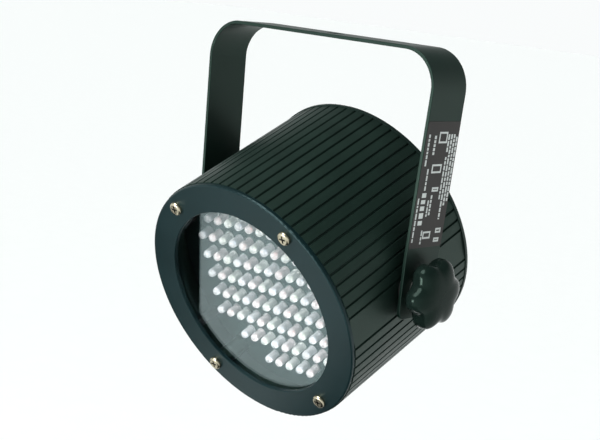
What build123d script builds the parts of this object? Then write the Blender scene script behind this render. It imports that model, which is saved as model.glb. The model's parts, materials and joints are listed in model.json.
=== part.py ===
"""Short LED par can: a ribbed round can that tilts in a flat steel yoke.

Millimetres, +Z up. The origin is the centre of the bolt hole in the top of the yoke, on its upper
face. X is the tilt axis, and the lamp looks along -Y with its nose tipped down. The can and all
that it holds are drawn from its front face: "depth" is the distance behind that face.
"""

from build123d import *
import math
import os

# Whole lamp
nose_down = 24.8            # degrees between the lamp axis and the horizontal
body_length = 106.5         # face of the front ring to face of the rear cover
tilt_axis_depth = 53.7      # tilt axis behind the front face
tilt_axis_drop = 132.0      # tilt axis under the top of the yoke

# Housing, an aluminium extrusion
housing_radius = 75.5
housing_wall = 3.0
rib_pitch = 5.0             # degrees
groove_width = 1.7
groove_depth = 1.1
land_half_angle = 7.5       # degrees, the plain flat land at each side
boss_inset = 4.9              # screw channel's middle inside the wall's inner face
screw_angle = 52.0          # degrees from the tilt axis
boss_radius = 5.2

# Front ring and window
ring_inset = 0.5              # the ring is this much smaller than the housing
ring_thickness = 2.5
pane_lap = 3.5                # the ring covers this much of the pane's rim
seal_thickness = 0.3
seal_width = 3.0
pane_thickness = 2.0
pane_gap = 0.9                # between the pane and the screw channels

# Light emitting diodes and their board
led_radius = 2.5
led_rim_radius = 2.9
led_rim_height = 1.0
led_height = 8.6
led_tip_depth = 15.0
led_pitch = 8.2
row_pitch = 13.0
board_thickness = 1.6
board_gap = 2.0               # between a board and the housing's inner face
board_clearance = 0.8

# Spacers
spacer_angle = 30.0           # degrees from the tilt axis
spacer_gap = 1.3              # between a spacer and the pane
led_gap = 0.9                 # least room between a diode and a spacer
ring_stud_length = 6.0
spacer_radius = 3.2         # over the corners of the hexagon
carrier_gap = 12.0
carrier_thickness = 1.5
small_spacer_radius = 2.9
small_spacer_height = 5.0

# Power board
power_board_size = (96.0, 64.0)
power_spacer_inset = (4.0, 7.0)
transformer_size = (32.0, 28.0, 24.0)
capacitor_radius = 6.3
capacitor_height = 20.0
fuse_radius = 2.6
fuse_length = 20.0
terminal_size = (25.0, 8.0, 10.0)

# Rear cover and what it carries
cover_overhang = 0.5          # the cover is this much larger than the housing
cover_thickness = 2.5
socket_place = (24.0, 16.0)
socket_flange_rim = (1.4, 3.9)  # flange beyond the body, sideways and upwards
socket_flange_thickness = 2.0
socket_body_radius = 11.6
socket_body_length = 22.0
socket_mouth_radius = 7.7
socket_mouth_depth = 14.0
contact_circle = 3.8
contact_radius = 1.2
contact_length = 12.0
plug_gap_radius = 9.6
socket_screw_offset = (-2.1, 0.4)  # screws from the body's edge, sideways and upwards
latch_size = (6.0, 2.4)
latch_clearance = 1.7         # middle of the latch beyond the socket body
latch_travel = 1.5
latch_length = 6.5
latch_proud = 1.5
control_board_size = (84.0, 34.0)
control_board_rise = 22.0
switch_drop = 18.0
switch_height = 9.6
switch_depth = 5.0
switch_count = 10
switch_pitch = 2.54
slider_size = (1.3, 1.8)
slider_proud = 0.8
slider_depth = 1.2
slider_travel = 2.0
switch_end = 1.0              # body beyond the first and last slider's pitch
switch_board_height = 14.0
switch_board_rim = 4.0        # board beyond the spacers
switch_spacer_gap = 5.3       # spacer's middle beyond the body's end
gland_drop = 46.0
gland_thread_radius = 8.0
gland_bore_radius = 3.6
gland_hex_rim = 4.5           # corners of the hexagon beyond the thread
gland_hex_height = 4.0
gland_inside_length = 9.0
gland_cap_height = 11.5
gland_nut_height = 4.0
eye_rise = 50.0
eye_width = 16.0
eye_thickness = 2.0
eye_height = 18.0
eye_foot = 14.0
eye_corner = 5.0
eye_hole_radius = 4.5

# Yoke
yoke_width = 30.0
yoke_thickness = 2.0
disc_thickness = 2.65       # rubber disc between the lamp and an arm
yoke_spread = 5.0           # each arm leans out this much up to the top bar
yoke_edge = 0.4             # rounding of the bar's long edges
yoke_bend = 21.0
yoke_soft_bend = 60.0
arm_tail = 16.0
arm_pad = 18.0
arm_corner = 5.0
yoke_bolt_radius = 5.25
label_margin = 0.5          # bare bar at each side of the label
label_gap_low = 6.0         # between the label and the clamp's flat
label_gap_high = 17.0       # between the label and the top bend
label_thickness = 0.2

# Tilt clamps
stud_radius = 4.0
stud_gap = 0.3              # radial, in the arms, washers and discs
insert_shell = 1.5          # metal round the insert's thread
insert_flange_rim = 2.5
insert_flange = 1.0
insert_length = 12.0
insert_collar_rim = 1.5
insert_collar = (0.6, 3.6)  # start and end inside the wall
disc_radius = 12.0
steel_washer_rim = 4.2
steel_washer_thickness = 1.5
knob_radius = 20.0
knob_lobes = 6
knob_turned = 70.0            # degrees, how far round the knobs are left
knob_lobe_radius = 7.0
knob_flute = 4.0            # the lobes stand this far out of the core
knob_neck_radius = 9.0
knob_neck_height = 3.5
knob_height = 10.5
knob_dome = 2.5
knob_edge = 2.4
stud_grip = 8.0             # length of stud inside the knob
stud_reach = 8.0            # length of stud inside the insert

# Screws: thread radius, head radius, head height
m4 = (2.0, 4.0, 2.4)
m3 = (1.5, 2.75, 2.0)
slip = 0.05                 # radial clearance of a thread or a press-in stem
hole_clearance = 0.2        # radial clearance of a screw in a plain hole

# Worked out from the sizes above
pivot = Vector(0, 0, -tilt_axis_drop)
nose = math.radians(nose_down)
forward = Vector(0, -math.cos(nose), -math.sin(nose))
face = pivot + forward * tilt_axis_depth
out_front = Axis(face, forward)
out_back = Axis(face, -forward)
housing_inner = housing_radius - housing_wall
board_radius = housing_inner - board_gap
screw_circle = housing_inner - boss_inset
ring_radius = housing_radius - ring_inset
cover_radius = housing_radius + cover_overhang
pane_radius = screw_circle - boss_radius - pane_gap
window_radius = pane_radius - pane_lap
spacer_circle = pane_radius + spacer_gap + spacer_radius
led_field = spacer_circle - spacer_radius - led_rim_radius - led_gap
flat_distance = housing_radius * math.cos(math.radians(land_half_angle))
cover_face = body_length
cover_inside = body_length - cover_thickness
housing_length = body_length - ring_thickness - cover_thickness
insert_radius = stud_radius + insert_shell
insert_flange_radius = insert_radius + insert_flange_rim
insert_collar_radius = insert_radius + insert_collar_rim
insert_middle = flat_distance - insert_length / 2
stud_hole_radius = stud_radius + stud_gap
steel_washer_radius = stud_hole_radius + steel_washer_rim
pane_depth = ring_thickness + seal_thickness
led_board_depth = led_tip_depth + led_height
front_spacer_length = led_board_depth - ring_thickness
carrier_depth = led_board_depth + board_thickness + carrier_gap
carrier_back = carrier_depth + carrier_thickness
power_board_depth = carrier_back + small_spacer_height
power_board_back = power_board_depth + board_thickness
socket_front = cover_face - socket_body_length
control_board_depth = socket_front - board_thickness
socket_flange = tuple(2 * (socket_body_radius + rim) for rim in socket_flange_rim)
socket_screw_place = tuple(socket_body_radius + offset for offset in socket_screw_offset)
latch_rise = socket_body_radius + latch_clearance
switch_width = switch_count * switch_pitch + 2 * switch_end
switch_spacer_place = switch_width / 2 + switch_spacer_gap
switch_board_size = (2 * (switch_spacer_place + switch_board_rim), switch_board_height)
gland_hex_radius = gland_thread_radius + gland_hex_rim
switch_front = cover_inside - switch_depth
switch_board_depth = switch_front - board_thickness
insert_face = flat_distance + insert_flange
arm_inner = insert_face + disc_thickness
yoke_half_span = arm_inner + yoke_thickness
yoke_half_top = yoke_half_span + yoke_spread
label_low = arm_pad + label_gap_low
label_high = tilt_axis_drop - yoke_bend - label_gap_high
label_size = (yoke_width - 2 * label_margin, label_high - label_low)
knob_core_radius = knob_radius - knob_flute
knob_seat = yoke_half_span + steel_washer_thickness
spacer_angles = [spacer_angle, 180 - spacer_angle, 180 + spacer_angle, 360 - spacer_angle]
power_spacer_place = tuple(size / 2 - inset
                           for size, inset in zip(power_board_size, power_spacer_inset))
screw_angles = [screw_angle, 180 - screw_angle, 180 + screw_angle, 360 - screw_angle]


def on_circle(radius, angles):
    """Points on a circle about the lamp axis."""
    return [(radius * math.cos(math.radians(a)), radius * math.sin(math.radians(a))) for a in angles]


def front_plane(depth):
    """Plane across the lamp at a depth: x along the tilt axis, y up, z out of the front."""
    return Plane(origin=face - forward * depth, x_dir=(1, 0, 0), z_dir=forward)


def rear_plane(depth):
    """The same plane seen from behind: x turns round, y stays up, z points out of the back."""
    return Plane(origin=face - forward * depth, x_dir=(-1, 0, 0), z_dir=-forward)


def side_plane(side, distance):
    """Plane across the tilt axis, facing away from the lamp; side is 1 or -1."""
    return Plane(origin=pivot + Vector(side * distance, 0, 0), x_dir=(0, side, 0), z_dir=(side, 0, 0))


screw_places = on_circle(screw_circle, screw_angles)
spacer_places = on_circle(spacer_circle, spacer_angles)
power_places = [(x, y) for x in (-power_spacer_place[0], power_spacer_place[0])
                for y in (-power_spacer_place[1], power_spacer_place[1])]
up = front_plane(0).y_dir
finished = []


def keep(builder, name):
    """Name a finished piece and queue it for writing."""
    builder.part.label = name
    finished.append(builder.part)


def pan_screws(plane, places, size, length):
    """Pan-head screws with a cross recess, heads standing on the plane."""
    thread, head, height = size
    with BuildPart(plane) as screws:
        with Locations(*places):
            Cylinder(head, height, align=(Align.CENTER, Align.CENTER, Align.MIN))
        crowns = screws.faces().sort_by(Axis(plane.origin, plane.z_dir))[-len(places):]
        fillet(crowns.edges(), height * 0.55)
        with Locations(*places):
            Cylinder(thread, length, align=(Align.CENTER, Align.CENTER, Align.MAX))
        with Locations(*[(x, y, height) for x, y in places]):
            Box(head * 1.1, head * 0.24, height, mode=Mode.SUBTRACT)
            Box(head * 0.24, head * 1.1, height, mode=Mode.SUBTRACT)
    return screws


def hex_spacers(plane, places, radius, length, bore, stem_length=0.0):
    """Threaded hexagon spacers standing on the plane, some with a stem that goes below it."""
    with BuildPart() as spacers:
        with BuildSketch(plane):
            with Locations(*places):
                RegularPolygon(radius, 6)
                Circle(bore, mode=Mode.SUBTRACT)
        extrude(amount=length)
        if stem_length:
            with BuildSketch(plane.offset(length / 2)):
                with Locations(*places):
                    Circle(bore + slip)
            extrude(amount=-length / 2)
            with BuildSketch(plane):
                with Locations(*places):
                    Circle(bore - slip)
            extrude(amount=-stem_length)
    return spacers


# --- Housing: ribbed tube with four screw channels and a plain flat land at each side -------------
groove_angles = [(i + 0.5) * rib_pitch for i in range(round(360 / rib_pitch))]
groove_angles = [a for a in groove_angles
                 if min(a % 180, 180 - a % 180) > land_half_angle - rib_pitch / 2]
with BuildPart() as housing:
    with BuildSketch(front_plane(ring_thickness)):
        Circle(housing_radius)
        for angle in groove_angles:
            with PolarLocations(housing_radius, 1, start_angle=angle):
                Polygon((0.5, groove_width * 0.65), (-groove_depth, groove_width * 0.15),
                        (-groove_depth, -groove_width * 0.15), (0.5, -groove_width * 0.65),
                        align=None, mode=Mode.SUBTRACT)
        Rectangle(2 * flat_distance, 2 * housing_radius, mode=Mode.INTERSECT)
        Circle(housing_inner, mode=Mode.SUBTRACT)
        with Locations(*screw_places):
            Circle(boss_radius)
        with Locations(*screw_places):
            Circle(m4[0] + slip, mode=Mode.SUBTRACT)
    extrude(amount=-housing_length)
    with BuildSketch(side_plane(1, -housing_radius)):
        Circle(insert_radius)
    extrude(amount=2 * housing_radius, mode=Mode.SUBTRACT)
keep(housing, "housing")

# --- Front ring with its four welded studs -------------------------------------------------------
with BuildPart() as front_ring:
    with BuildSketch(front_plane(0)):
        Circle(ring_radius)
        Circle(window_radius, mode=Mode.SUBTRACT)
        with Locations(*screw_places):
            Circle(m4[0] + hole_clearance, mode=Mode.SUBTRACT)
    extrude(amount=-ring_thickness)
    front_edges = front_ring.faces().sort_by(out_front)[-1].edges().sort_by(SortBy.LENGTH)
    fillet(front_edges[-1], 0.9)
    chamfer(front_edges[-2], 0.3)
    with BuildSketch(front_plane(ring_thickness)):
        with Locations(*spacer_places):
            Circle(m3[0])
    extrude(amount=-ring_stud_length)
keep(front_ring, "front_ring")

front_screws = pan_screws(front_plane(0), screw_places, m4, 12)
keep(front_screws, "front_screws")

# --- Window pane and the adhesive seal between it and the ring -----------------------------------
with BuildPart() as window_seal:
    with BuildSketch(front_plane(ring_thickness)):
        Circle(pane_radius)
        Circle(pane_radius - seal_width, mode=Mode.SUBTRACT)
    extrude(amount=-seal_thickness)
keep(window_seal, "window_seal")

with BuildPart() as window_pane:
    with BuildSketch(front_plane(pane_depth)):
        Circle(pane_radius)
    extrude(amount=-pane_thickness)
keep(window_pane, "window_pane")


# --- Diode board, diodes and the carrier plate behind them ---------------------------------------
def disc_with_notches(name, depth, thickness, holes, side_notches=()):
    """Disc that slides down the housing, cut away round the screw channels."""
    with BuildPart() as disc:
        with BuildSketch(front_plane(depth)):
            Circle(board_radius)
            with Locations(*screw_places):
                Circle(boss_radius + board_clearance, mode=Mode.SUBTRACT)
            for places, radius in holes:
                with Locations(*places):
                    Circle(radius, mode=Mode.SUBTRACT)
            if side_notches:
                with Locations(*side_notches):
                    Rectangle(insert_length + 2 * board_clearance,
                              2 * (insert_collar_radius + board_clearance), mode=Mode.SUBTRACT)
        extrude(amount=-thickness)
    keep(disc, name)


disc_with_notches("led_board", led_board_depth, board_thickness,
                  [(spacer_places, m3[0] + hole_clearance)])
disc_with_notches("carrier_plate", carrier_depth, carrier_thickness,
                  [(spacer_places, m3[0] + hole_clearance), (power_places, m3[0] - slip)],
                  [(-insert_middle, 0), (insert_middle, 0)])

# Each row: its place above the middle, the first column and the number of diodes. Columns lie half
# a pitch off the middle, and the pattern is the same when turned end for end.
led_rows = [(4, -3, 5), (3, -5, 9), (2, -6, 12), (1, -6, 12), (0, -6, 12),
            (-1, -6, 12), (-2, -6, 12), (-3, -4, 9), (-4, -2, 5)]
led_places = [((first + i + 0.5) * led_pitch, row * row_pitch)
              for row, first, count in led_rows for i in range(count)]
led_places = [place for place in led_places if math.hypot(*place) <= led_field]
for offset, colour in enumerate(("red", "green", "blue")):
    with BuildPart(front_plane(led_board_depth)) as leds:
        with Locations(*led_places[offset::3]):
            Cylinder(led_rim_radius, led_rim_height, align=(Align.CENTER, Align.CENTER, Align.MIN))
            Cylinder(led_radius, led_height - led_radius,
                     align=(Align.CENTER, Align.CENTER, Align.MIN))
        with Locations(*[(x, y, led_height - led_radius) for x, y in led_places[offset::3]]):
            Sphere(led_radius)
    keep(leds, f"leds_{colour}")

front_spacers = hex_spacers(rear_plane(ring_thickness), spacer_places, spacer_radius,
                            front_spacer_length, m3[0] + slip)
keep(front_spacers, "front_spacers")
rear_spacers = hex_spacers(rear_plane(led_board_depth + board_thickness), spacer_places,
                           spacer_radius, carrier_gap, m3[0] + slip, board_thickness + 5)
keep(rear_spacers, "rear_spacers")

# --- Power board: the mains supply on its spacers, with transformer, capacitors and fuse ----------
power_spacers = hex_spacers(rear_plane(carrier_back), power_places, small_spacer_radius,
                            small_spacer_height, m3[0] - 2 * slip, carrier_thickness)
keep(power_spacers, "power_spacers")
with BuildPart() as power_board:
    with BuildSketch(rear_plane(power_board_depth)):
        Rectangle(*power_board_size)
        with Locations(*power_places):
            Circle(m3[0], mode=Mode.SUBTRACT)
    extrude(amount=board_thickness)
keep(power_board, "power_board")
with BuildPart() as board_screws:
    add(pan_screws(rear_plane(carrier_back), spacer_places, m3, 5).part)
    add(pan_screws(rear_plane(power_board_back), power_places,
                   (m3[0] - 3 * slip, m3[1], m3[2]), board_thickness + 2).part)
keep(board_screws, "board_screws")

# Tall parts keep below the control board, the transformer left of the divide, the rest right of it
power_divide = -2.0
tall_limit = control_board_rise - control_board_size[1] / 2 - 2.0
with BuildPart(rear_plane(power_board_back)) as transformer:
    length, width, height = transformer_size
    x, y = power_divide - length / 2, tall_limit - width / 2
    with Locations((x, y, 0)):
        Box(length, width, height * 0.16, align=(Align.CENTER, Align.CENTER, Align.MIN))
        Box(length * 0.62, width * 0.94, height, align=(Align.CENTER, Align.CENTER, Align.MIN))
    with Locations((x, y, height * 0.3)):
        Box(length, width * 0.5, height * 0.6, align=(Align.CENTER, Align.CENTER, Align.MIN))
keep(transformer, "transformer")

capacitor_pitch = 2 * capacitor_radius + 1.4
capacitor_x = power_divide + capacitor_radius + 2.7
capacitor_y = tall_limit - capacitor_radius - 13.7
capacitor_places = [(capacitor_x, capacitor_y, 0), (capacitor_x + capacitor_pitch, capacitor_y, 0),
                    (capacitor_x + capacitor_pitch / 2, capacitor_y + 0.9 * capacitor_pitch, 0)]
with BuildPart(rear_plane(power_board_back)) as capacitors:
    with Locations(*capacitor_places):
        Cylinder(capacitor_radius, capacitor_height, align=(Align.CENTER, Align.CENTER, Align.MIN))
    fillet(capacitors.faces().sort_by(out_back)[-3:].edges(), 0.8)
keep(capacitors, "capacitors")

terminal_x, terminal_y = -18.0, 18.0
terminal_ways = [terminal_size[0] * share for share in (-0.32, 0, 0.32)]
with BuildPart(rear_plane(power_board_back)) as terminal_block:
    with Locations((terminal_x, terminal_y, 0)):
        Box(*terminal_size, align=(Align.CENTER, Align.CENTER, Align.MIN))
    with Locations(*[(terminal_x + way, terminal_y, terminal_size[2]) for way in terminal_ways]):
        Cylinder(2.2, 2.5, mode=Mode.SUBTRACT)
keep(terminal_block, "terminal_block")

fuse_middle = (17.0, 16.0)
with BuildPart(rear_plane(power_board_back)) as fuse_clips:
    for end in (-1, 1):
        with Locations((fuse_middle[0] + end * (fuse_length / 2 - 2.5), fuse_middle[1], 0)):
            Box(4, 2 * fuse_radius + 2, 2 * fuse_radius + 1,
                align=(Align.CENTER, Align.CENTER, Align.MIN))
    with Locations((fuse_middle[0], fuse_middle[1], fuse_radius + 1)):
        Cylinder(fuse_radius + slip, fuse_length + 4, rotation=(0, 90, 0), mode=Mode.SUBTRACT)
    with Locations((fuse_middle[0], fuse_middle[1], fuse_radius + 1)):
        Box(fuse_length + 4, 2 * fuse_radius - 1, 4 * fuse_radius,
            align=(Align.CENTER, Align.CENTER, Align.MIN), mode=Mode.SUBTRACT)
keep(fuse_clips, "fuse_clips")
with BuildPart(rear_plane(power_board_back)) as fuse:
    with Locations((fuse_middle[0], fuse_middle[1], fuse_radius + 1)):
        Cylinder(fuse_radius, fuse_length, rotation=(0, 90, 0))
keep(fuse, "fuse")

# --- Rear cover with its screws ------------------------------------------------------------------
# Places on the cover are seen from behind.
input_place = (-socket_place[0], socket_place[1])
output_place = socket_place
socket_screw_offsets = [(-socket_screw_place[0], socket_screw_place[1]),
                        (socket_screw_place[0], -socket_screw_place[1])]
socket_screw_places = [(x + dx, y + dy) for x, y in (input_place, output_place)
                       for dx, dy in socket_screw_offsets]
latch_place = (output_place[0], output_place[1] + latch_rise)
latch_hole = (latch_size[0] + 2 * hole_clearance, latch_size[1] + 2 * hole_clearance)
switch_screw_places = [(-switch_spacer_place, -switch_drop), (switch_spacer_place, -switch_drop)]
switch_window = (switch_width + 0.6, switch_height + 0.6)
eye_place = (0.0, eye_rise)
with BuildPart() as rear_cover:
    with BuildSketch(rear_plane(cover_inside)):
        Circle(cover_radius)
        with Locations(*screw_places, eye_place):
            Circle(m4[0] + hole_clearance, mode=Mode.SUBTRACT)
        with Locations(*socket_screw_places, *switch_screw_places):
            Circle(m3[0] + hole_clearance, mode=Mode.SUBTRACT)
        with Locations(input_place, output_place):
            Circle(socket_body_radius + hole_clearance, mode=Mode.SUBTRACT)
        with Locations(latch_place):
            Rectangle(*latch_hole, mode=Mode.SUBTRACT)
        with Locations((0, -switch_drop)):
            Rectangle(*switch_window, mode=Mode.SUBTRACT)
        with Locations((0, -gland_drop)):
            Circle(gland_thread_radius + hole_clearance, mode=Mode.SUBTRACT)
    extrude(amount=cover_thickness)
    fillet(rear_cover.faces().sort_by(out_back)[-1].edges().sort_by(SortBy.LENGTH)[-1], 1.0)
keep(rear_cover, "rear_cover")
rear_screws = pan_screws(rear_plane(cover_face), screw_places, m4, 12)
keep(rear_screws, "rear_screws")

# --- Control sockets, one with pins and one with holes and a latch -------------------------------
contact_places = on_circle(contact_circle, [30, 150, 270])


def socket_shell(place):
    """Flange on the cover and the round body behind it."""
    with BuildPart() as shell:
        with BuildSketch(rear_plane(cover_face)):
            with Locations(place):
                RectangleRounded(*socket_flange, 2.5)
            with Locations(*[(place[0] + dx, place[1] + dy) for dx, dy in socket_screw_offsets]):
                Circle(m3[0] + hole_clearance, mode=Mode.SUBTRACT)
        extrude(amount=socket_flange_thickness)
        with BuildSketch(rear_plane(cover_face)):
            with Locations(place):
                Circle(socket_body_radius)
        extrude(amount=-socket_body_length)
    return shell.part


def contacts(place):
    """Places of the three contacts of a socket."""
    return [(place[0] + dx, place[1] + dy) for dx, dy in contact_places]


socket_mouth = cover_face + socket_flange_thickness
with BuildPart() as input_socket:
    add(socket_shell(input_place))
    with BuildSketch(rear_plane(socket_mouth)):
        with Locations(input_place):
            Circle(socket_mouth_radius)
    extrude(amount=-socket_mouth_depth, mode=Mode.SUBTRACT)
keep(input_socket, "input_socket")
with BuildPart() as input_pins:
    with BuildSketch(rear_plane(socket_mouth - socket_mouth_depth)):
        with Locations(*contacts(input_place)):
            Circle(contact_radius)
    extrude(amount=contact_length)
keep(input_pins, "input_pins")
with BuildPart() as output_socket:
    add(socket_shell(output_place))
    with BuildSketch(rear_plane(socket_mouth)):
        with Locations(output_place):
            Circle(plug_gap_radius)
    extrude(amount=-socket_mouth_depth, mode=Mode.SUBTRACT)
    with BuildSketch(rear_plane(socket_mouth)):
        with Locations(latch_place):
            Rectangle(*latch_hole)
    extrude(amount=-socket_flange_thickness, mode=Mode.SUBTRACT)
keep(output_socket, "output_socket")
with BuildPart() as output_core:
    with BuildSketch(rear_plane(socket_mouth - socket_mouth_depth)):
        with Locations(output_place):
            Circle(socket_mouth_radius - hole_clearance)
        with Locations(*contacts(output_place)):
            Circle(contact_radius + hole_clearance, mode=Mode.SUBTRACT)
    extrude(amount=socket_mouth_depth)
keep(output_core, "output_core")
with BuildPart() as output_latch:
    with BuildSketch(rear_plane(socket_mouth + latch_proud)):
        with Locations(latch_place):
            Rectangle(*latch_size)
    extrude(amount=-latch_length)
    fillet(output_latch.faces().sort_by(out_back)[-1].edges(), 0.4)
keep(output_latch, "output_latch")
socket_screws = pan_screws(rear_plane(socket_mouth), socket_screw_places, m3, 8)
keep(socket_screws, "socket_screws")
with BuildPart() as socket_nuts:
    with BuildSketch(front_plane(cover_inside)):
        with Locations(*[(-x, y) for x, y in socket_screw_places]):
            RegularPolygon(spacer_radius, 6)
            Circle(m3[0] + slip, mode=Mode.SUBTRACT)
    extrude(amount=2.4)
keep(socket_nuts, "socket_nuts")

with BuildPart() as control_board:
    with BuildSketch(rear_plane(control_board_depth)):
        with Locations((0, control_board_rise)):
            Rectangle(*control_board_size)
    extrude(amount=board_thickness)
keep(control_board, "control_board")
with BuildPart(front_plane(control_board_depth)) as control_chips:
    with Locations((0, control_board_rise - 5, 0)):
        Box(18, 7.5, 3, align=(Align.CENTER, Align.CENTER, Align.MIN))
    with Locations((-26, control_board_rise - 10, 0), (26, control_board_rise - 10, 0)):
        Box(5, 4, 1.8, align=(Align.CENTER, Align.CENTER, Align.MIN))
    with Locations((-22, control_board_rise + 8, 0), (0, control_board_rise + 10, 0),
                   (22, control_board_rise + 8, 0)):
        Box(10, 4.5, 9, align=(Align.CENTER, Align.CENTER, Align.MIN))
keep(control_chips, "control_chips")

# --- Address switch: a ten-way bank of sliders behind a window in the cover ----------------------
slider_columns = [(i - (switch_count - 1) / 2) * switch_pitch for i in range(switch_count)]
slider_low = -switch_drop - slider_travel / 2
with BuildPart() as switch_body:
    with BuildSketch(rear_plane(switch_front)):
        with Locations((0, -switch_drop)):
            Rectangle(switch_width, switch_height)
    extrude(amount=switch_depth)
    with BuildSketch(rear_plane(cover_inside)):
        with Locations(*[(x, -switch_drop) for x in slider_columns]):
            Rectangle(slider_size[0] + 2 * hole_clearance,
                      slider_size[1] + slider_travel + 2 * hole_clearance)
    extrude(amount=-slider_depth, mode=Mode.SUBTRACT)
keep(switch_body, "switch_body")
for number, column in enumerate(slider_columns, start=1):
    with BuildPart() as slider:
        with BuildSketch(rear_plane(cover_inside - slider_depth)):
            with Locations((column, slider_low)):
                Rectangle(*slider_size)
        extrude(amount=slider_depth + slider_proud)
    keep(slider, f"switch_slider_{number}")

with BuildPart() as switch_board:
    with BuildSketch(rear_plane(switch_board_depth)):
        with Locations((0, -switch_drop)):
            Rectangle(*switch_board_size)
        with Locations(*switch_screw_places):
            Circle(m3[0] - slip, mode=Mode.SUBTRACT)
    extrude(amount=board_thickness)
keep(switch_board, "switch_board")
switch_spacers = hex_spacers(rear_plane(switch_front), switch_screw_places, small_spacer_radius,
                             switch_depth, m3[0] - 2 * slip, board_thickness)
keep(switch_spacers, "switch_spacers")
switch_screws = pan_screws(rear_plane(cover_face), switch_screw_places,
                           (m3[0] - 3 * slip, m3[1], m3[2]), cover_thickness + 2)
keep(switch_screws, "switch_screws")

# --- Mains cable gland, empty: body through the cover, nut inside, domed cap outside --------------
gland_place = (0, -gland_drop)
with BuildPart() as gland_body:
    with BuildSketch(rear_plane(cover_face)):
        with Locations(gland_place):
            RegularPolygon(gland_hex_radius, 6)
    extrude(amount=gland_hex_height)
    with BuildSketch(rear_plane(cover_face)):
        with Locations(gland_place):
            Circle(gland_thread_radius)
    extrude(amount=-gland_inside_length)
    with BuildSketch(rear_plane(cover_face + gland_hex_height)):
        with Locations(gland_place):
            Circle(gland_bore_radius)
    extrude(amount=-gland_hex_height - gland_inside_length, mode=Mode.SUBTRACT)
keep(gland_body, "gland_body")
with BuildPart() as gland_cap:
    with BuildSketch(rear_plane(cover_face + gland_hex_height)):
        with Locations(gland_place):
            Circle(gland_hex_radius * 0.9)
    extrude(amount=gland_cap_height)
    fillet(gland_cap.faces().sort_by(out_back)[-1].edges(), 6.0)
    with BuildSketch(rear_plane(cover_face + gland_hex_height)):
        with Locations(gland_place):
            Circle(gland_bore_radius)
    extrude(amount=gland_cap_height, mode=Mode.SUBTRACT)
keep(gland_cap, "gland_cap")
with BuildPart() as gland_nut:
    with BuildSketch(front_plane(cover_inside)):
        with Locations(gland_place):
            RegularPolygon(gland_hex_radius, 6)
            Circle(gland_thread_radius + slip, mode=Mode.SUBTRACT)
    extrude(amount=gland_nut_height)
keep(gland_nut, "gland_nut")

# --- Safety eye: a bent steel tab for the safety wire, screwed to the cover ----------------------
# Its fin stands to one side of the screw, so that a hook goes through it from the side.
eye_side = rear_plane(cover_face).from_local_coords((eye_width / 2, eye_rise, eye_height * 0.58))
with BuildPart() as safety_eye:
    with BuildSketch(rear_plane(cover_face)):
        with Locations(eye_place):
            Rectangle(eye_width, eye_foot)
            Circle(m4[0] + hole_clearance, mode=Mode.SUBTRACT)
    extrude(amount=eye_thickness)
    with BuildSketch(rear_plane(cover_face)):
        with Locations((eye_width / 2 + eye_thickness / 2, eye_rise)):
            Rectangle(eye_thickness, eye_foot)
    extrude(amount=eye_height)
    with BuildSketch(Plane(origin=eye_side, x_dir=up, z_dir=(-1, 0, 0))):
        Circle(eye_hole_radius)
    extrude(amount=2 * eye_thickness, both=True, mode=Mode.SUBTRACT)
    fillet(safety_eye.edges().filter_by(Axis.X).filter_by(lambda e: e.length < eye_thickness + 0.1)
           .sort_by(out_back)[-2:], eye_corner)
keep(safety_eye, "safety_eye")
eye_screw = pan_screws(rear_plane(cover_face + eye_thickness), [eye_place], m4, 10)
keep(eye_screw, "eye_screw")
with BuildPart() as eye_nut:
    with BuildSketch(front_plane(cover_inside)):
        with Locations(eye_place):
            RegularPolygon(4.0, 6)
            Circle(m4[0] + slip, mode=Mode.SUBTRACT)
    extrude(amount=3.2)
keep(eye_nut, "eye_nut")

# --- Yoke: one flat steel bar bent to a U, arms closing in a little towards the can --------------
pad_top = -tilt_axis_drop + arm_pad
half_sheet = yoke_thickness / 2
arm_points = [(yoke_half_span - half_sheet, -tilt_axis_drop - arm_tail),
              (yoke_half_span - half_sheet, pad_top),
              (yoke_half_top - half_sheet, -half_sheet)]
with BuildPart() as yoke:
    with BuildSketch(Plane.XZ):
        with BuildLine() as yoke_path:
            FilletPolyline(*arm_points, *[(-x, z) for x, z in reversed(arm_points)],
                           radius=[yoke_soft_bend, yoke_bend, yoke_bend, yoke_soft_bend])
        trace(line_width=yoke_thickness)
    extrude(amount=yoke_width / 2, both=True)
    tail_edges = yoke.edges().filter_by(Axis.X).group_by(Axis.Z)[0]
    fillet(tail_edges, arm_corner)
    long_faces = yoke.faces().filter_by(Axis.Y)
    fillet(long_faces.edges(), yoke_edge)
    with BuildSketch(side_plane(1, -yoke_half_top)):
        Circle(stud_hole_radius)
    extrude(amount=2 * yoke_half_top, mode=Mode.SUBTRACT)
    with BuildSketch(Plane.XY):
        Circle(yoke_bolt_radius)
    extrude(amount=-2 * yoke_thickness, mode=Mode.SUBTRACT)
keep(yoke, "yoke")

arm_run = Vector(arm_points[2][0] - arm_points[1][0], 0, arm_points[2][1] - arm_points[1][1])
arm_out = Vector(arm_run.Z, 0, -arm_run.X).normalized()
label_share = (label_low + label_size[1] / 2 - arm_pad) / (tilt_axis_drop - half_sheet - arm_pad)
label_middle = Vector(arm_points[1][0], 0, arm_points[1][1]) + arm_run * label_share
with BuildPart() as rating_label:
    with BuildSketch(Plane(origin=label_middle + arm_out * half_sheet, x_dir=(0, 1, 0),
                           z_dir=arm_out)):
        RectangleRounded(*label_size, 1.0)
    extrude(amount=label_thickness)
keep(rating_label, "rating_label")

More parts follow.
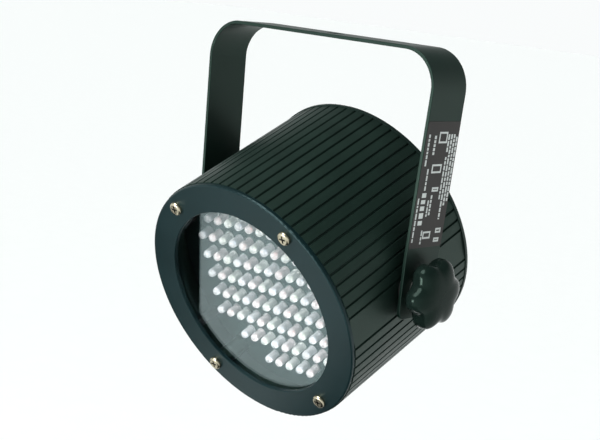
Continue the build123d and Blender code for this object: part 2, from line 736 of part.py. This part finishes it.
# --- Tilt clamps: threaded inserts in the lands, rubber discs, steel washers, knobs and studs -----
with BuildPart() as pivot_inserts:
    for side in (-1, 1):
        with BuildSketch(side_plane(side, flat_distance)):
            Circle(insert_flange_radius)
            Circle(stud_radius + slip, mode=Mode.SUBTRACT)
        extrude(amount=insert_flange)
        with BuildSketch(side_plane(side, flat_distance)):
            Circle(insert_radius - slip)
            Circle(stud_radius + slip, mode=Mode.SUBTRACT)
        extrude(amount=-insert_length)
        with BuildSketch(side_plane(side, housing_inner - insert_collar[0])):
            Circle(insert_collar_radius)
            Circle(stud_radius + slip, mode=Mode.SUBTRACT)
        extrude(amount=insert_collar[0] - insert_collar[1])
keep(pivot_inserts, "pivot_inserts")
with BuildPart() as friction_discs:
    for side in (-1, 1):
        with BuildSketch(side_plane(side, insert_face)):
            Circle(disc_radius)
            Circle(stud_hole_radius, mode=Mode.SUBTRACT)
        extrude(amount=arm_inner - insert_face)
keep(friction_discs, "friction_discs")
with BuildPart() as steel_washers:
    for side in (-1, 1):
        with BuildSketch(side_plane(side, yoke_half_span)):
            Circle(steel_washer_radius)
            Circle(stud_hole_radius, mode=Mode.SUBTRACT)
        extrude(amount=steel_washer_thickness)
keep(steel_washers, "steel_washers")

for side, word in ((-1, "left"), (1, "right")):
    with BuildPart() as stud:
        with BuildSketch(side_plane(side, insert_face - stud_reach)):
            Circle(stud_radius)
        extrude(amount=knob_seat + stud_grip - insert_face + stud_reach)
    keep(stud, f"stud_{word}")
    lobe_circle = knob_radius - knob_lobe_radius
    with BuildPart() as knob:
        with BuildSketch(side_plane(side, knob_seat + knob_neck_height)):
            Circle(knob_core_radius)
            with PolarLocations(lobe_circle, knob_lobes, start_angle=knob_turned):
                Circle(knob_lobe_radius)
        extrude(amount=knob_height)
        fillet(knob.faces().sort_by(Axis.X)[-1 if side > 0 else 0].edges(), knob_edge)
        with BuildSketch(side_plane(side, knob_seat + knob_neck_height + knob_height)):
            Circle(knob_core_radius * 0.8)
        extrude(amount=knob_dome, taper=35)
        with BuildSketch(side_plane(side, knob_seat)):
            Circle(knob_neck_radius)
        extrude(amount=knob_neck_height)
        with BuildSketch(side_plane(side, knob_seat)):
            Circle(stud_radius + slip)
        extrude(amount=stud_grip, mode=Mode.SUBTRACT)
    keep(knob, f"knob_{word}")

os.makedirs("parts", exist_ok=True)
for piece in finished:
    export_step(piece, f"parts/{piece.label}.step")
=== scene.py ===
"""Looks of a short par can light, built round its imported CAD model. Metres, in the model's own frame."""

import bmesh
import bpy
import json
import math
import random
from mathutils import Matrix, Vector


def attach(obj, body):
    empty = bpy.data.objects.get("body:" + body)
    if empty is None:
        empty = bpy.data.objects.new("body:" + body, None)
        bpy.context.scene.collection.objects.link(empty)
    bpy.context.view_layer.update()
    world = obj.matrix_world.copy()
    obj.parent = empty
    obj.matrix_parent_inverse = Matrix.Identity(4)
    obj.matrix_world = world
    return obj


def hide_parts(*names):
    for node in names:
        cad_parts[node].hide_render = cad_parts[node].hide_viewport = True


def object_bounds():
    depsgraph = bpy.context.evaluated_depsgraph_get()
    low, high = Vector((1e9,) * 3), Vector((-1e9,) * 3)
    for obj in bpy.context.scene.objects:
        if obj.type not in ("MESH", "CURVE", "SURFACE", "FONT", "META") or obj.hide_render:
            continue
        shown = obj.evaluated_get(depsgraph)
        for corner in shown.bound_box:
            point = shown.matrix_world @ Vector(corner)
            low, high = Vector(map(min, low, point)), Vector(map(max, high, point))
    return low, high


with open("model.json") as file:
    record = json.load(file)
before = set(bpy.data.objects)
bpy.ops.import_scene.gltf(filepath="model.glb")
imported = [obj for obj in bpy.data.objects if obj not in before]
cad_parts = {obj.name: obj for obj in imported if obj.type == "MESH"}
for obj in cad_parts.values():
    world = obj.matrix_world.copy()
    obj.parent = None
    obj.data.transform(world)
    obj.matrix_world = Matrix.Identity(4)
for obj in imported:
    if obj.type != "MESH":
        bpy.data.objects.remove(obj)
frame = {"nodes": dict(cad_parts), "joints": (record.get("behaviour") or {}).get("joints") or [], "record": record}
cad_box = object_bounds()
nodes = frame["nodes"]
mounts = {mount["name"]: mount for mount in frame["record"]["mounts"]}

# --- Lamp axis ------------------------------------------------------------------------------------
# The can is a straight extrusion, so every round piece in it is turned about one line. That line
# leaves through the cable entry, and the front ring's face is the end of it that everything is
# measured back from.
backward = Vector(mounts["cable_entry"]["axis"]).normalized()
sideways = Vector((1, 0, 0))
upward = sideways.cross(backward).normalized()
tilt_joint = next(j for j in frame["joints"] if j["name"] == "tilt")
pivot = Vector(tilt_joint["pos_m"])


def reach(node, direction):
    """How far the node goes along a direction: lowest and highest."""
    along = [vertex.co.dot(direction) for vertex in nodes[node].data.vertices]
    return min(along), max(along)


def middle(low_high):
    return (low_high[0] + low_high[1]) / 2


ring_face = reach("front_ring", backward)[0]
centre = pivot + backward * (ring_face - pivot.dot(backward))
lamp_axes = Matrix((sideways, upward, -backward)).transposed().to_4x4()
lamp_axes.translation = centre

# --- Yoke -----------------------------------------------------------------------------------------
# One strip of flat steel bent into a U, drilled for the clamp bolt and the two knobs. It is powder
# coated in a satin black that leans to green and shows a very fine orange peel.
drift_scale = 38          # cloudy drifts of colour and gloss, about 25 mm across
gloss_drift = 0.15
drawn_stretch = 0.02      # a drawn grain is fifty times as long, up the model, as it is wide


def coating(name, colour, roughness, grain, depth, spread=0.12, metallic=0.0, shine=0.5,
            cast=(1, 1, 1), drawn=None):
    """A painted or moulded finish: its colour and gloss drift a little and its skin has a grain.
    The cast tints its shine. A drawn grain is stretched up the model, and its pattern is then turned
    by the way from the direction given to upright, which doesn't turn the stretch."""
    material = bpy.data.materials.new(name)
    material.use_nodes = True
    tree = material.node_tree
    shader = tree.nodes["Principled BSDF"]
    place = tree.nodes.new("ShaderNodeTexCoord")
    drift = tree.nodes.new("ShaderNodeTexNoise")
    drift.inputs["Scale"].default_value = drift_scale
    drift.inputs["Detail"].default_value = 6
    skin = tree.nodes.new("ShaderNodeTexNoise")
    skin.inputs["Scale"].default_value = grain
    skin.inputs["Detail"].default_value = 3
    tree.links.new(place.outputs["Object"], drift.inputs["Vector"])
    if drawn is None:
        tree.links.new(place.outputs["Object"], skin.inputs["Vector"])
    else:
        turned = tree.nodes.new("ShaderNodeMapping")
        upright = drawn.rotation_difference(Vector((0, 0, 1)))
        turned.inputs["Rotation"].default_value = upright.to_euler()
        turned.inputs["Scale"].default_value = (1, 1, drawn_stretch)
        tree.links.new(place.outputs["Object"], turned.inputs["Vector"])
        tree.links.new(turned.outputs["Vector"], skin.inputs["Vector"])
    tones = tree.nodes.new("ShaderNodeValToRGB")
    tones.color_ramp.elements[0].position = 0.3
    tones.color_ramp.elements[1].position = 0.7
    tones.color_ramp.elements[0].color = [c * (1 - spread) for c in colour] + [1]
    tones.color_ramp.elements[1].color = [c * (1 + spread) for c in colour] + [1]
    tree.links.new(drift.outputs["Fac"], tones.inputs["Fac"])
    tree.links.new(tones.outputs["Color"], shader.inputs["Base Color"])
    gloss = tree.nodes.new("ShaderNodeMapRange")
    gloss.inputs["To Min"].default_value = roughness * (1 - gloss_drift)
    gloss.inputs["To Max"].default_value = roughness * (1 + gloss_drift)
    tree.links.new(drift.outputs["Fac"], gloss.inputs["Value"])
    tree.links.new(gloss.outputs["Result"], shader.inputs["Roughness"])
    bump = tree.nodes.new("ShaderNodeBump")
    bump.inputs["Strength"].default_value = 0.6
    bump.inputs["Distance"].default_value = depth
    tree.links.new(skin.outputs["Fac"], bump.inputs["Height"])
    tree.links.new(bump.outputs["Normal"], shader.inputs["Normal"])
    shader.inputs["Metallic"].default_value = metallic
    shader.inputs["Specular IOR Level"].default_value = shine
    shader.inputs["Specular Tint"].default_value = (*cast, 1)
    return material


def dress(material, *names, crease=32):
    """Gives CAD nodes a finish and smooths their round faces."""
    for name in names:
        mesh = nodes[name].data
        mesh.materials.clear()
        mesh.materials.append(material)
        mesh.shade_smooth()
        mesh.set_sharp_from_angle(angle=math.radians(crease))


green_cast = (0.66, 1.0, 0.85)
yoke_black = coating("yoke_black", (0.004, 0.012, 0.009), 0.4, 2600, 0.00006, shine=0.3,
                     cast=green_cast)
dress(yoke_black, "yoke")

# --- Rating label ---------------------------------------------------------------------------------
# A printed film stuck to the outside of the right arm, dark grey-brown with pale print. The print
# is plain bars that run down the arm where lines of text would be, with plain boxes for symbols.
label_film = coating("label_film", (0.035, 0.032, 0.031), 0.42, 900, 0.00002, shine=0.2)
dress(label_film, "rating_label")
label_ink = coating("label_ink", (0.6, 0.63, 0.62), 0.5, 1500, 0.00001)


def add_piece(name, mesh, material, body, node=None, crease=32, axes=None):
    """Turns a bmesh into an object that rides on a body and may stand for a CAD node."""
    data = bpy.data.meshes.new(name)
    mesh.to_mesh(data)
    mesh.free()
    if axes is not None:
        data.transform(axes)
    data.materials.append(material)
    data.shade_smooth()
    data.set_sharp_from_angle(angle=math.radians(crease))
    piece = bpy.data.objects.new(name, data)
    bpy.context.scene.collection.objects.link(piece)
    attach(piece, body)
    if node:
        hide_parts(node)
    return piece


label_face = max(nodes["rating_label"].data.polygons, key=lambda face: face.normal.x * face.area)
label_out = label_face.normal.copy()
label_across = Vector((0, 1, 0))
label_up = label_out.cross(label_across).normalized()
label_top = reach("rating_label", label_up)
label_side = reach("rating_label", label_across)
label_axes = Matrix((label_across, label_up, label_out)).transposed().to_4x4()
label_axes.translation = (label_across * middle(label_side) + label_up * middle(label_top)
                          + label_out * reach("rating_label", label_out)[1])
label_width = label_side[1] - label_side[0]
label_height = label_top[1] - label_top[0]
ink_lift = 0.00004
film_stretch = 2.4        # the film is this many times as tall as it is wide


def print_bar(mesh, across, up, width, height):
    """A printed rectangle, its middle and size given as shares of the film."""
    corners = [(-1, -1), (1, -1), (1, 1), (-1, 1)]
    mesh.faces.new([mesh.verts.new(((across + x * width / 2) * label_width,
                                    (up + y * height / 2) * label_height, ink_lift))
                    for x, y in corners])


def print_line(mesh, across, high, low, thick, word=(0.018, 0.05), space=0.008):
    """A line of print down the arm, broken into bars the length of words."""
    while high > low:
        length = min(random.uniform(*word), high - low + 0.01)
        print_bar(mesh, across, high - length / 2, thick, length)
        high -= length + space


def print_box(mesh, across, up, width, height, line=0.035):
    """An empty box where a symbol would be."""
    flat_line = line / film_stretch
    for side in (-1, 1):
        print_bar(mesh, across + side * (width - line) / 2, up, line, height)
        print_bar(mesh, across, up + side * (height - flat_line) / 2, width - 2 * line, flat_line)


random.seed(4)
print_mesh = bmesh.new()
for across, high, low, thick in ((-0.41, 0.4, 0.15, 0.05), (-0.3, 0.13, -0.03, 0.045),
                                 (-0.22, 0.39, 0.25, 0.06), (0.2, 0.4, 0.27, 0.05),
                                 (0.2, 0.22, -0.12, 0.045), (0.285, 0.4, -0.27, 0.05),
                                 (0.37, 0.4, -0.17, 0.05), (0.45, 0.38, -0.13, 0.05),
                                 (-0.05, -0.08, -0.23, 0.05), (-0.13, -0.12, -0.24, 0.04),
                                 (-0.44, -0.1, -0.44, 0.04), (-0.18, -0.36, -0.46, 0.04)):
    print_line(print_mesh, across, high, low, thick)
print_line(print_mesh, -0.29, -0.06, -0.32, 0.13, (0.03, 0.045), 0.018)
for box in ((0.02, 0.375, 0.26, 0.09), (-0.04, 0.13, 0.3, 0.07), (0.02, -0.035, 0.2, 0.035),
            (-0.02, -0.4, 0.24, 0.06), (0.33, -0.37, 0.17, 0.04), (0.31, -0.445, 0.17, 0.035)):
    print_box(print_mesh, *box)
add_piece("label_print", print_mesh, label_ink, "yoke", axes=label_axes)

# --- Friction discs and washers -------------------------------------------------------------------
# Rubber discs grip between the arms and the can. A zinc plated washer lies under each knob, and the
# knob's steel stud goes through both into a threaded insert in the can's side.
rubber = coating("rubber", (0.012, 0.013, 0.013), 0.75, 1800, 0.00005)
zinc = coating("zinc", (0.5, 0.5, 0.47), 0.36, 1300, 0.00002, metallic=1.0)
dress(rubber, "friction_discs")
dress(zinc, "steel_washers", "pivot_inserts", "stud_left", "stud_right")

# --- Housing --------------------------------------------------------------------------------------
# A short length of black extruded aluminium. Flat ribs with narrow grooves between them run the
# length of the can, with a plain land at each side for the arms. Its finish has a streaky grain.
housing_black = coating("housing_black", (0.006, 0.014, 0.011), 0.44, 1500, 0.00005, spread=0.2,
                        shine=0.42, cast=green_cast, drawn=backward)
dress(housing_black, "housing", crease=20)

# --- Front ring -----------------------------------------------------------------------------------
# A flat ring of sheet metal, painted satin black, with its outer edge rounded over. Four screws hold
# it to channels inside the can.
ring_black = coating("ring_black", (0.003, 0.011, 0.0125), 0.3, 2200, 0.00003, shine=0.27,
                     cast=(0.62, 0.97, 1.0))
dress(ring_black, "front_ring")

# --- Front screws ---------------------------------------------------------------------------------
# Nickel plated pan heads with a cross recess, a little yellowed. The faces inside the recesses get a near-black
# finish of their own: painted shade, for the little light that reaches into them.
into_lamp = lamp_axes.inverted()
weld_distance = 1e-6      # a solid's faces come unjoined, and corners as near as this are one corner


def loose_middles(node):
    """Middle and lowest point of each loose solid of a CAD node, in the lamp's axes."""
    mesh = bmesh.new()
    mesh.from_mesh(nodes[node].data)
    bmesh.ops.remove_doubles(mesh, verts=mesh.verts, dist=weld_distance)
    mesh.verts.ensure_lookup_table()
    middles, seen = [], set()
    for start in mesh.verts:
        if start.index in seen:
            continue
        group, edge = [], [start]
        seen.add(start.index)
        while edge:
            vertex = edge.pop()
            group.append(into_lamp @ vertex.co)
            for link in vertex.link_edges:
                other = link.other_vert(vertex)
                if other.index not in seen:
                    seen.add(other.index)
                    edge.append(other)
        low = [min(point[k] for point in group) for k in range(3)]
        high = [max(point[k] for point in group) for k in range(3)]
        middles.append(((low[0] + high[0]) / 2, (low[1] + high[1]) / 2, low[2]))
    mesh.free()
    return middles


screw_spots = [spot[:2] for spot in loose_middles("front_screws")]
nickel = coating("nickel", (0.5, 0.46, 0.34), 0.25, 1500, 0.00001, metallic=1.0)
dress(nickel, "front_screws", "rear_screws", "socket_screws", "switch_screws", "eye_screw",
      "board_screws", "socket_nuts", "eye_nut")

recess_reach = 0.0018     # from the screw's axis to the ends of its cross
steep_facing = 0.2        # a face turned further than this from the front is a wall of the cross
wall_share, floor_share = 0.3, 0.6      # walls start and floors end at these shares of the head
# Painted shade: a near-black finish for the walls and floors of the cross recesses.
recess_painted_shade = coating("recess_painted_shade", (0.012, 0.012, 0.01), 0.6, 1500, 0.00001, shine=0.2)
screw_mesh = nodes["front_screws"].data
screw_mesh.materials.append(recess_painted_shade)
turned_in = into_lamp.to_3x3()
head_height = max((into_lamp @ vertex.co).z for vertex in screw_mesh.vertices)
# Faces within the cross's reach that are steep walls or lie deep in the head take the painted shade finish.
for face in screw_mesh.polygons:
    spot = into_lamp @ face.center
    facing = (turned_in @ face.normal).z
    steep = facing < steep_facing and spot.z > wall_share * head_height
    deep = spot.z < floor_share * head_height
    if spot.z > 0 and (steep or deep):
        near = min(math.hypot(spot.x - x, spot.y - y) for x, y in screw_spots)
        if near < recess_reach:
            face.material_index = 1

# --- Window ---------------------------------------------------------------------------------------
# A clear round sheet, 2 mm thick, behind the ring. A black adhesive seal round its rim holds it.
# Its shine has a blue-green cast.


def clear(name, colour, ior, roughness, clarity=1.0, cast=(1, 1, 1)):
    """Clear glass or plastic that lets the lamps' light through to what it covers."""
    material = bpy.data.materials.new(name)
    material.use_nodes = True
    tree = material.node_tree
    shader = tree.nodes["Principled BSDF"]
    shader.inputs["Base Color"].default_value = (*colour, 1)
    shader.inputs["Transmission Weight"].default_value = clarity
    shader.inputs["IOR"].default_value = ior
    shader.inputs["Specular Tint"].default_value = (*cast, 1)
    shader.inputs["Roughness"].default_value = roughness
    through = tree.nodes.new("ShaderNodeBsdfTransparent")
    through.inputs["Color"].default_value = (*colour, 1)
    rays = tree.nodes.new("ShaderNodeLightPath")
    blend = tree.nodes.new("ShaderNodeMixShader")
    output = tree.nodes["Material Output"]
    tree.links.new(rays.outputs["Is Shadow Ray"], blend.inputs["Fac"])
    tree.links.new(shader.outputs["BSDF"], blend.inputs[1])
    tree.links.new(through.outputs["BSDF"], blend.inputs[2])
    tree.links.new(blend.outputs["Shader"], output.inputs["Surface"])
    return material


window_clear = clear("window_clear", (0.95, 0.97, 0.98), 1.62, 0.015, cast=(0.6, 0.97, 1.0))
dress(window_clear, "window_pane")
dress(rubber, "window_seal")

# --- Diodes ---------------------------------------------------------------------------------------
# Round 5 mm diodes in water-clear epoxy, 88 of them in rows on a dark board. Each stands on its rim
# and holds a plated cup with a small chip in it, which the dome shows enlarged.
board_dark = coating("board_dark", (0.006, 0.018, 0.017), 0.45, 500, 0.00003, shine=0.3)
dress(board_dark, "led_board")
plated_cup = coating("plated_cup", (0.76, 0.76, 0.75), 0.35, 900, 0.00001, metallic=0.5)
on_axis = 1e-6            # a ring of a smaller radius than this is a single point


def join_rings(mesh, rings, sides):
    """Faces between rings of points that lie one over another. A ring may be a single point."""
    for low, high in zip(rings, rings[1:]):
        for i in range(sides):
            j = (i + 1) % sides
            corners = [low[i % len(low)], low[j % len(low)], high[j % len(high)], high[i % len(high)]]
            corners = [c for n, c in enumerate(corners) if c not in corners[:n]]
            mesh.faces.new(corners)


def turn(mesh, profile, spot, sides):
    """Lathes a profile of (radius, height) points about an upright line through the spot."""
    rings = []
    for radius, height in profile:
        if radius < on_axis:
            rings.append([mesh.verts.new((spot[0], spot[1], height + spot[2]))])
        else:
            rings.append([mesh.verts.new((spot[0] + radius * math.cos(math.tau * i / sides),
                                          spot[1] + radius * math.sin(math.tau * i / sides),
                                          height + spot[2])) for i in range(sides)])
    join_rings(mesh, rings, sides)


dome_radius, rim_radius, rim_height, diode_height = 0.0025, 0.0029, 0.001, 0.0086
dome_steps = 7
lens_sides, cup_sides, chip_sides = 20, 14, 6
epoxy_clarity = 0.72      # the rest scatters, so the lenses look faintly milky
dome_profile = [(0, 0), (rim_radius, 0), (rim_radius, rim_height), (dome_radius, rim_height)]
dome_profile += [(dome_radius * math.cos(step * math.pi / 2 / dome_steps),
                  diode_height - dome_radius + dome_radius * math.sin(step * math.pi / 2 / dome_steps))
                 for step in range(dome_steps)] + [(0, diode_height)]
cup_profile = [(0, 0.0004), (0.0008, 0.0004), (0.0007, 0.0022), (0.0012, 0.0036), (0.0019, 0.0056),
               (0.0016, 0.0057), (0.0009, 0.0046), (0, 0.0045)]
chip_profile = [(0, 0.0046), (0.0006, 0.0046), (0.0005, 0.005), (0, 0.005)]
for colour, tint, chip in (("red", (0.99, 0.95, 0.96), (0.6, 0.2, 0.12)),
                           ("green", (0.95, 0.99, 0.97), (0.5, 0.62, 0.3)),
                           ("blue", (0.95, 0.97, 0.99), (0.3, 0.45, 0.62))):
    lenses, cups, chips = bmesh.new(), bmesh.new(), bmesh.new()
    for spot in loose_middles(f"leds_{colour}"):
        turn(lenses, dome_profile, spot, lens_sides)
        turn(cups, cup_profile, spot, cup_sides)
        turn(chips, chip_profile, spot, chip_sides)
    epoxy = clear(f"epoxy_{colour}", tint, 1.5, 0.05, epoxy_clarity)
    chip_finish = coating(f"chip_{colour}", chip, 0.4, 900, 0.00001)
    add_piece(f"diode_domes_{colour}", lenses, epoxy, "lamp", f"leds_{colour}", axes=lamp_axes)
    add_piece(f"diode_cups_{colour}", cups, plated_cup, "lamp", axes=lamp_axes)
    add_piece(f"diode_chips_{colour}", chips, chip_finish, "lamp", axes=lamp_axes)

# --- Inside ---------------------------------------------------------------------------------------
# Zinc spacers hold an aluminium plate behind the diodes' board, the supply's board behind that plate
# and the address switch's board inside the rear cover. The control board sits on the sockets' ends.
board_green = coating("board_green", (0.02, 0.09, 0.05), 0.4, 500, 0.00003)
dress(board_green, "control_board", "power_board", "switch_board")
dress(zinc, "rear_spacers", "power_spacers", "switch_spacers", "fuse_clips", "safety_eye")
plain_aluminium = coating("plain_aluminium", (0.6, 0.6, 0.6), 0.4, 900, 0.00003, metallic=1.0)
dress(plain_aluminium, "carrier_plate")
black_moulding = coating("black_moulding", (0.013, 0.014, 0.014), 0.5, 1700, 0.00005, shine=0.35)
dress(black_moulding, "control_chips", "input_socket", "output_socket", "output_core",
      "gland_body", "gland_cap", "gland_nut", "front_spacers")
dress(coating("transformer_tape", (0.6, 0.45, 0.08), 0.5, 600, 0.00005), "transformer")
dress(coating("capacitor_sleeve", (0.02, 0.04, 0.14), 0.35, 500, 0.00003), "capacitors")
dress(coating("terminal_grey", (0.2, 0.22, 0.24), 0.5, 900, 0.00003), "terminal_block")
dress(clear("fuse_glass", (0.95, 0.97, 0.95), 1.5, 0.03), "fuse")

# --- Rear cover -----------------------------------------------------------------------------------
# A black painted steel disc that carries the sockets, the address switch, the safety eye and the
# cable gland. Four screws hold it to the same channels as the front ring.
cover_black = coating("cover_black", (0.009, 0.017, 0.015), 0.4, 2200, 0.00004, shine=0.3,
                      cast=green_cast)
dress(cover_black, "rear_cover")
brass = coating("brass", (0.72, 0.6, 0.3), 0.25, 900, 0.00001, metallic=1.0)
dress(brass, "input_pins")
dress(zinc, "output_latch")
dress(coating("switch_blue", (0.02, 0.09, 0.42), 0.45, 1500, 0.00002), "switch_body")
white_moulding = coating("white_moulding", (0.75, 0.75, 0.72), 0.45, 1500, 0.00002)
dress(white_moulding, *[name for name in nodes if name.startswith("switch_slider")])

# --- Knobs ----------------------------------------------------------------------------------------
# Gloss black moulded knobs: six round lobes under one broad dome, on a plain neck. Each is moulded
# on the end of its steel stud.
knob_black = coating("knob_black", (0.006, 0.012, 0.01), 0.15, 900, 0.00003, shine=0.12,
                     cast=green_cast)
knob_lobes, knob_flute = 6, 0.0036
flute_sharpness = 1.4     # over 1, the lobes are broad and the flutes between them narrow
lobe_angle = math.radians(70)
knob_sides, knob_steps = 96, 14
neck_radius, neck_height = 0.009, 0.0035
underside = [(0.86, 0), (0.94, 0.0006), (1, 0.0025)]      # share of the rim, height over the neck
dome_start, dome_fullness = 0.0055, 0.62


def knob_mesh(axes, node):
    """The knob's solid form, drawn upwards from its seat along the axes' third line."""
    into_knob = axes.inverted()
    points = [into_knob @ vertex.co for vertex in nodes[node].data.vertices]
    top = max(point.z for point in points)
    rim = max(math.hypot(point.x, point.y) for point in points)
    mesh = bmesh.new()
    levels = [(0, 0, 0), (0, neck_radius / rim, 0), (0, neck_radius / rim, neck_height)]
    levels += [(1, share, neck_height + rise) for share, rise in underside]
    dome_low = neck_height + dome_start
    for step in range(1, knob_steps + 1):
        turned = step * math.pi / 2 / knob_steps
        levels.append((1 - step / knob_steps, math.cos(turned) ** dome_fullness,
                       dome_low + (top - dome_low) * math.sin(turned)))
    rings = []
    for fluted, share, height in levels:
        ring = []
        for i in range(knob_sides if share * rim > on_axis else 1):
            angle = math.tau * i / knob_sides
            wave = 0.5 - 0.5 * math.cos(knob_lobes * (angle - lobe_angle))
            radius = share * (rim - fluted ** 0.5 * knob_flute * wave ** flute_sharpness)
            ring.append(mesh.verts.new((radius * math.cos(angle), radius * math.sin(angle), height)))
        rings.append(ring)
    join_rings(mesh, rings, knob_sides)
    return mesh


for side, word in ((-1, "left"), (1, "right")):
    node = f"knob_{word}"
    out = sideways * side
    along, rise = Vector((0, side, 0)), Vector((0, 0, 1))
    knob_axes = Matrix((along, rise, out)).transposed().to_4x4()
    knob_axes.translation = pivot + out * (reach(node, out)[0] - pivot.dot(out))
    add_piece(f"knob_grip_{word}", knob_mesh(knob_axes, node), knob_black, node, node,
              crease=50, axes=knob_axes)

# --- Floor, lights and camera ---------------------------------------------------------------------
# The lamp hangs over a wide pale floor, in a surround that is pale at eye level and dim overhead. A
# broad sun lights it from in front and above, and a low soft panel in front lights the diodes.
floor_drop = 0.2
floor_reach = 12
floor_pale = coating("floor_pale", (0.93, 0.93, 0.93), 0.9, 60, 0.00002, spread=0.005, shine=0.1)
floor_mesh = bpy.data.meshes.new("floor")
low = cad_box[0].z - floor_drop
floor_mesh.from_pydata([(-floor_reach, -floor_reach, low), (floor_reach, -floor_reach, low),
                        (floor_reach, floor_reach, low), (-floor_reach, floor_reach, low)],
                       [], [(0, 1, 2, 3)])
floor_mesh.materials.append(floor_pale)
floor = bpy.data.objects.new("floor", floor_mesh)
bpy.context.scene.collection.objects.link(floor)

# Two dark cards lie just over the floor, out of view, as a studio's black flags. The window mirrors
# the first at its left, and the ring's low side mirrors the second.
card_black = coating("card_black", (0.002, 0.002, 0.002), 0.9, 60, 0.00002, shine=0)
card_lift = 0.02
card_reach = 0.3


def add_card(name, start, end, side):
    """A flat dark card with one straight edge, seen by nothing but gloss."""
    edge = [Vector((*start, low + card_lift)), Vector((*end, low + card_lift))]
    across = (edge[1] - edge[0]).cross(Vector((0, 0, side))).normalized() * card_reach
    mesh = bpy.data.meshes.new(name)
    mesh.from_pydata([*edge, edge[1] + across, edge[0] + across], [], [(0, 1, 2, 3)])
    mesh.materials.append(card_black)
    card = bpy.data.objects.new(name, mesh)
    card.visible_camera = False
    card.visible_diffuse = False
    card.visible_shadow = False
    bpy.context.scene.collection.objects.link(card)


add_card("dark_card_left", (-0.225, -0.055), (-0.43, -0.322), 1)
add_card("dark_card_low", (-0.167, 0.009), (-0.049, -0.32), -1)

eye_level_pale = (0.95, 0.97, 0.97, 1)
overhead_dim = (0.16, 0.2, 0.19, 1)
world = bpy.data.worlds.new("studio")
bpy.context.scene.world = world
world.use_nodes = True
sky_nodes, sky_links = world.node_tree.nodes, world.node_tree.links
direction = sky_nodes.new("ShaderNodeTexCoord")
split = sky_nodes.new("ShaderNodeSeparateXYZ")
fade = sky_nodes.new("ShaderNodeValToRGB")
for stop, height, tone in ((0, 0.02, eye_level_pale), (1, 0.6, overhead_dim)):
    fade.color_ramp.elements[stop].position = height
    fade.color_ramp.elements[stop].color = tone
sky_links.new(direction.outputs["Generated"], split.inputs["Vector"])
sky_links.new(split.outputs["Z"], fade.inputs["Fac"])
sky_links.new(fade.outputs["Color"], sky_nodes["Background"].inputs["Color"])
sky_nodes["Background"].inputs["Strength"].default_value = 1.0

key_heading = Vector((0.2, 0.55, -0.75))
key_light = bpy.data.lights.new("key", "SUN")
key_light.energy = 3.1
key_light.angle = math.radians(40)
key = bpy.data.objects.new("key", key_light)
key.rotation_mode = "QUATERNION"
key.rotation_quaternion = key_heading.to_track_quat("-Z", "Y")
bpy.context.scene.collection.objects.link(key)

panel_place = Vector((-0.25, -1.1, -0.3))
panel_light = bpy.data.lights.new("front_low", "AREA")
panel_light.shape = "RECTANGLE"
panel_light.size, panel_light.size_y = 0.5, 0.35
panel_light.energy = 11
panel_light.color = (1.0, 0.99, 0.97)
panel = bpy.data.objects.new("front_low", panel_light)
panel.location = panel_place
panel.rotation_mode = "QUATERNION"
panel.rotation_quaternion = (pivot - panel_place).normalized().to_track_quat("-Z", "Y")
bpy.context.scene.collection.objects.link(panel)

bpy.context.scene.view_settings.view_transform = "Standard"

camera_azimuth = math.radians(40.17)
camera_elevation = math.radians(9.95)
camera_roll = math.radians(6.5)
camera_place = pivot + Vector((0.5171, -0.6096, 0.1611))
aim = Vector((-math.sin(camera_azimuth) * math.cos(camera_elevation),
              math.cos(camera_azimuth) * math.cos(camera_elevation),
              -math.sin(camera_elevation)))
camera_data = bpy.data.cameras.new("camera")
camera_data.sensor_width = 36
camera_data.lens = 83.24
camera_data.shift_x = -0.0285
camera_data.shift_y = 0.0069
camera = bpy.data.objects.new("camera", camera_data)
camera.location = camera_place
roll = Matrix.Rotation(camera_roll, 4, "Z")
camera.rotation_euler = (aim.to_track_quat("-Z", "Y").to_matrix().to_4x4() @ roll).to_euler()
bpy.context.scene.collection.objects.link(camera)
bpy.context.scene.camera = camera
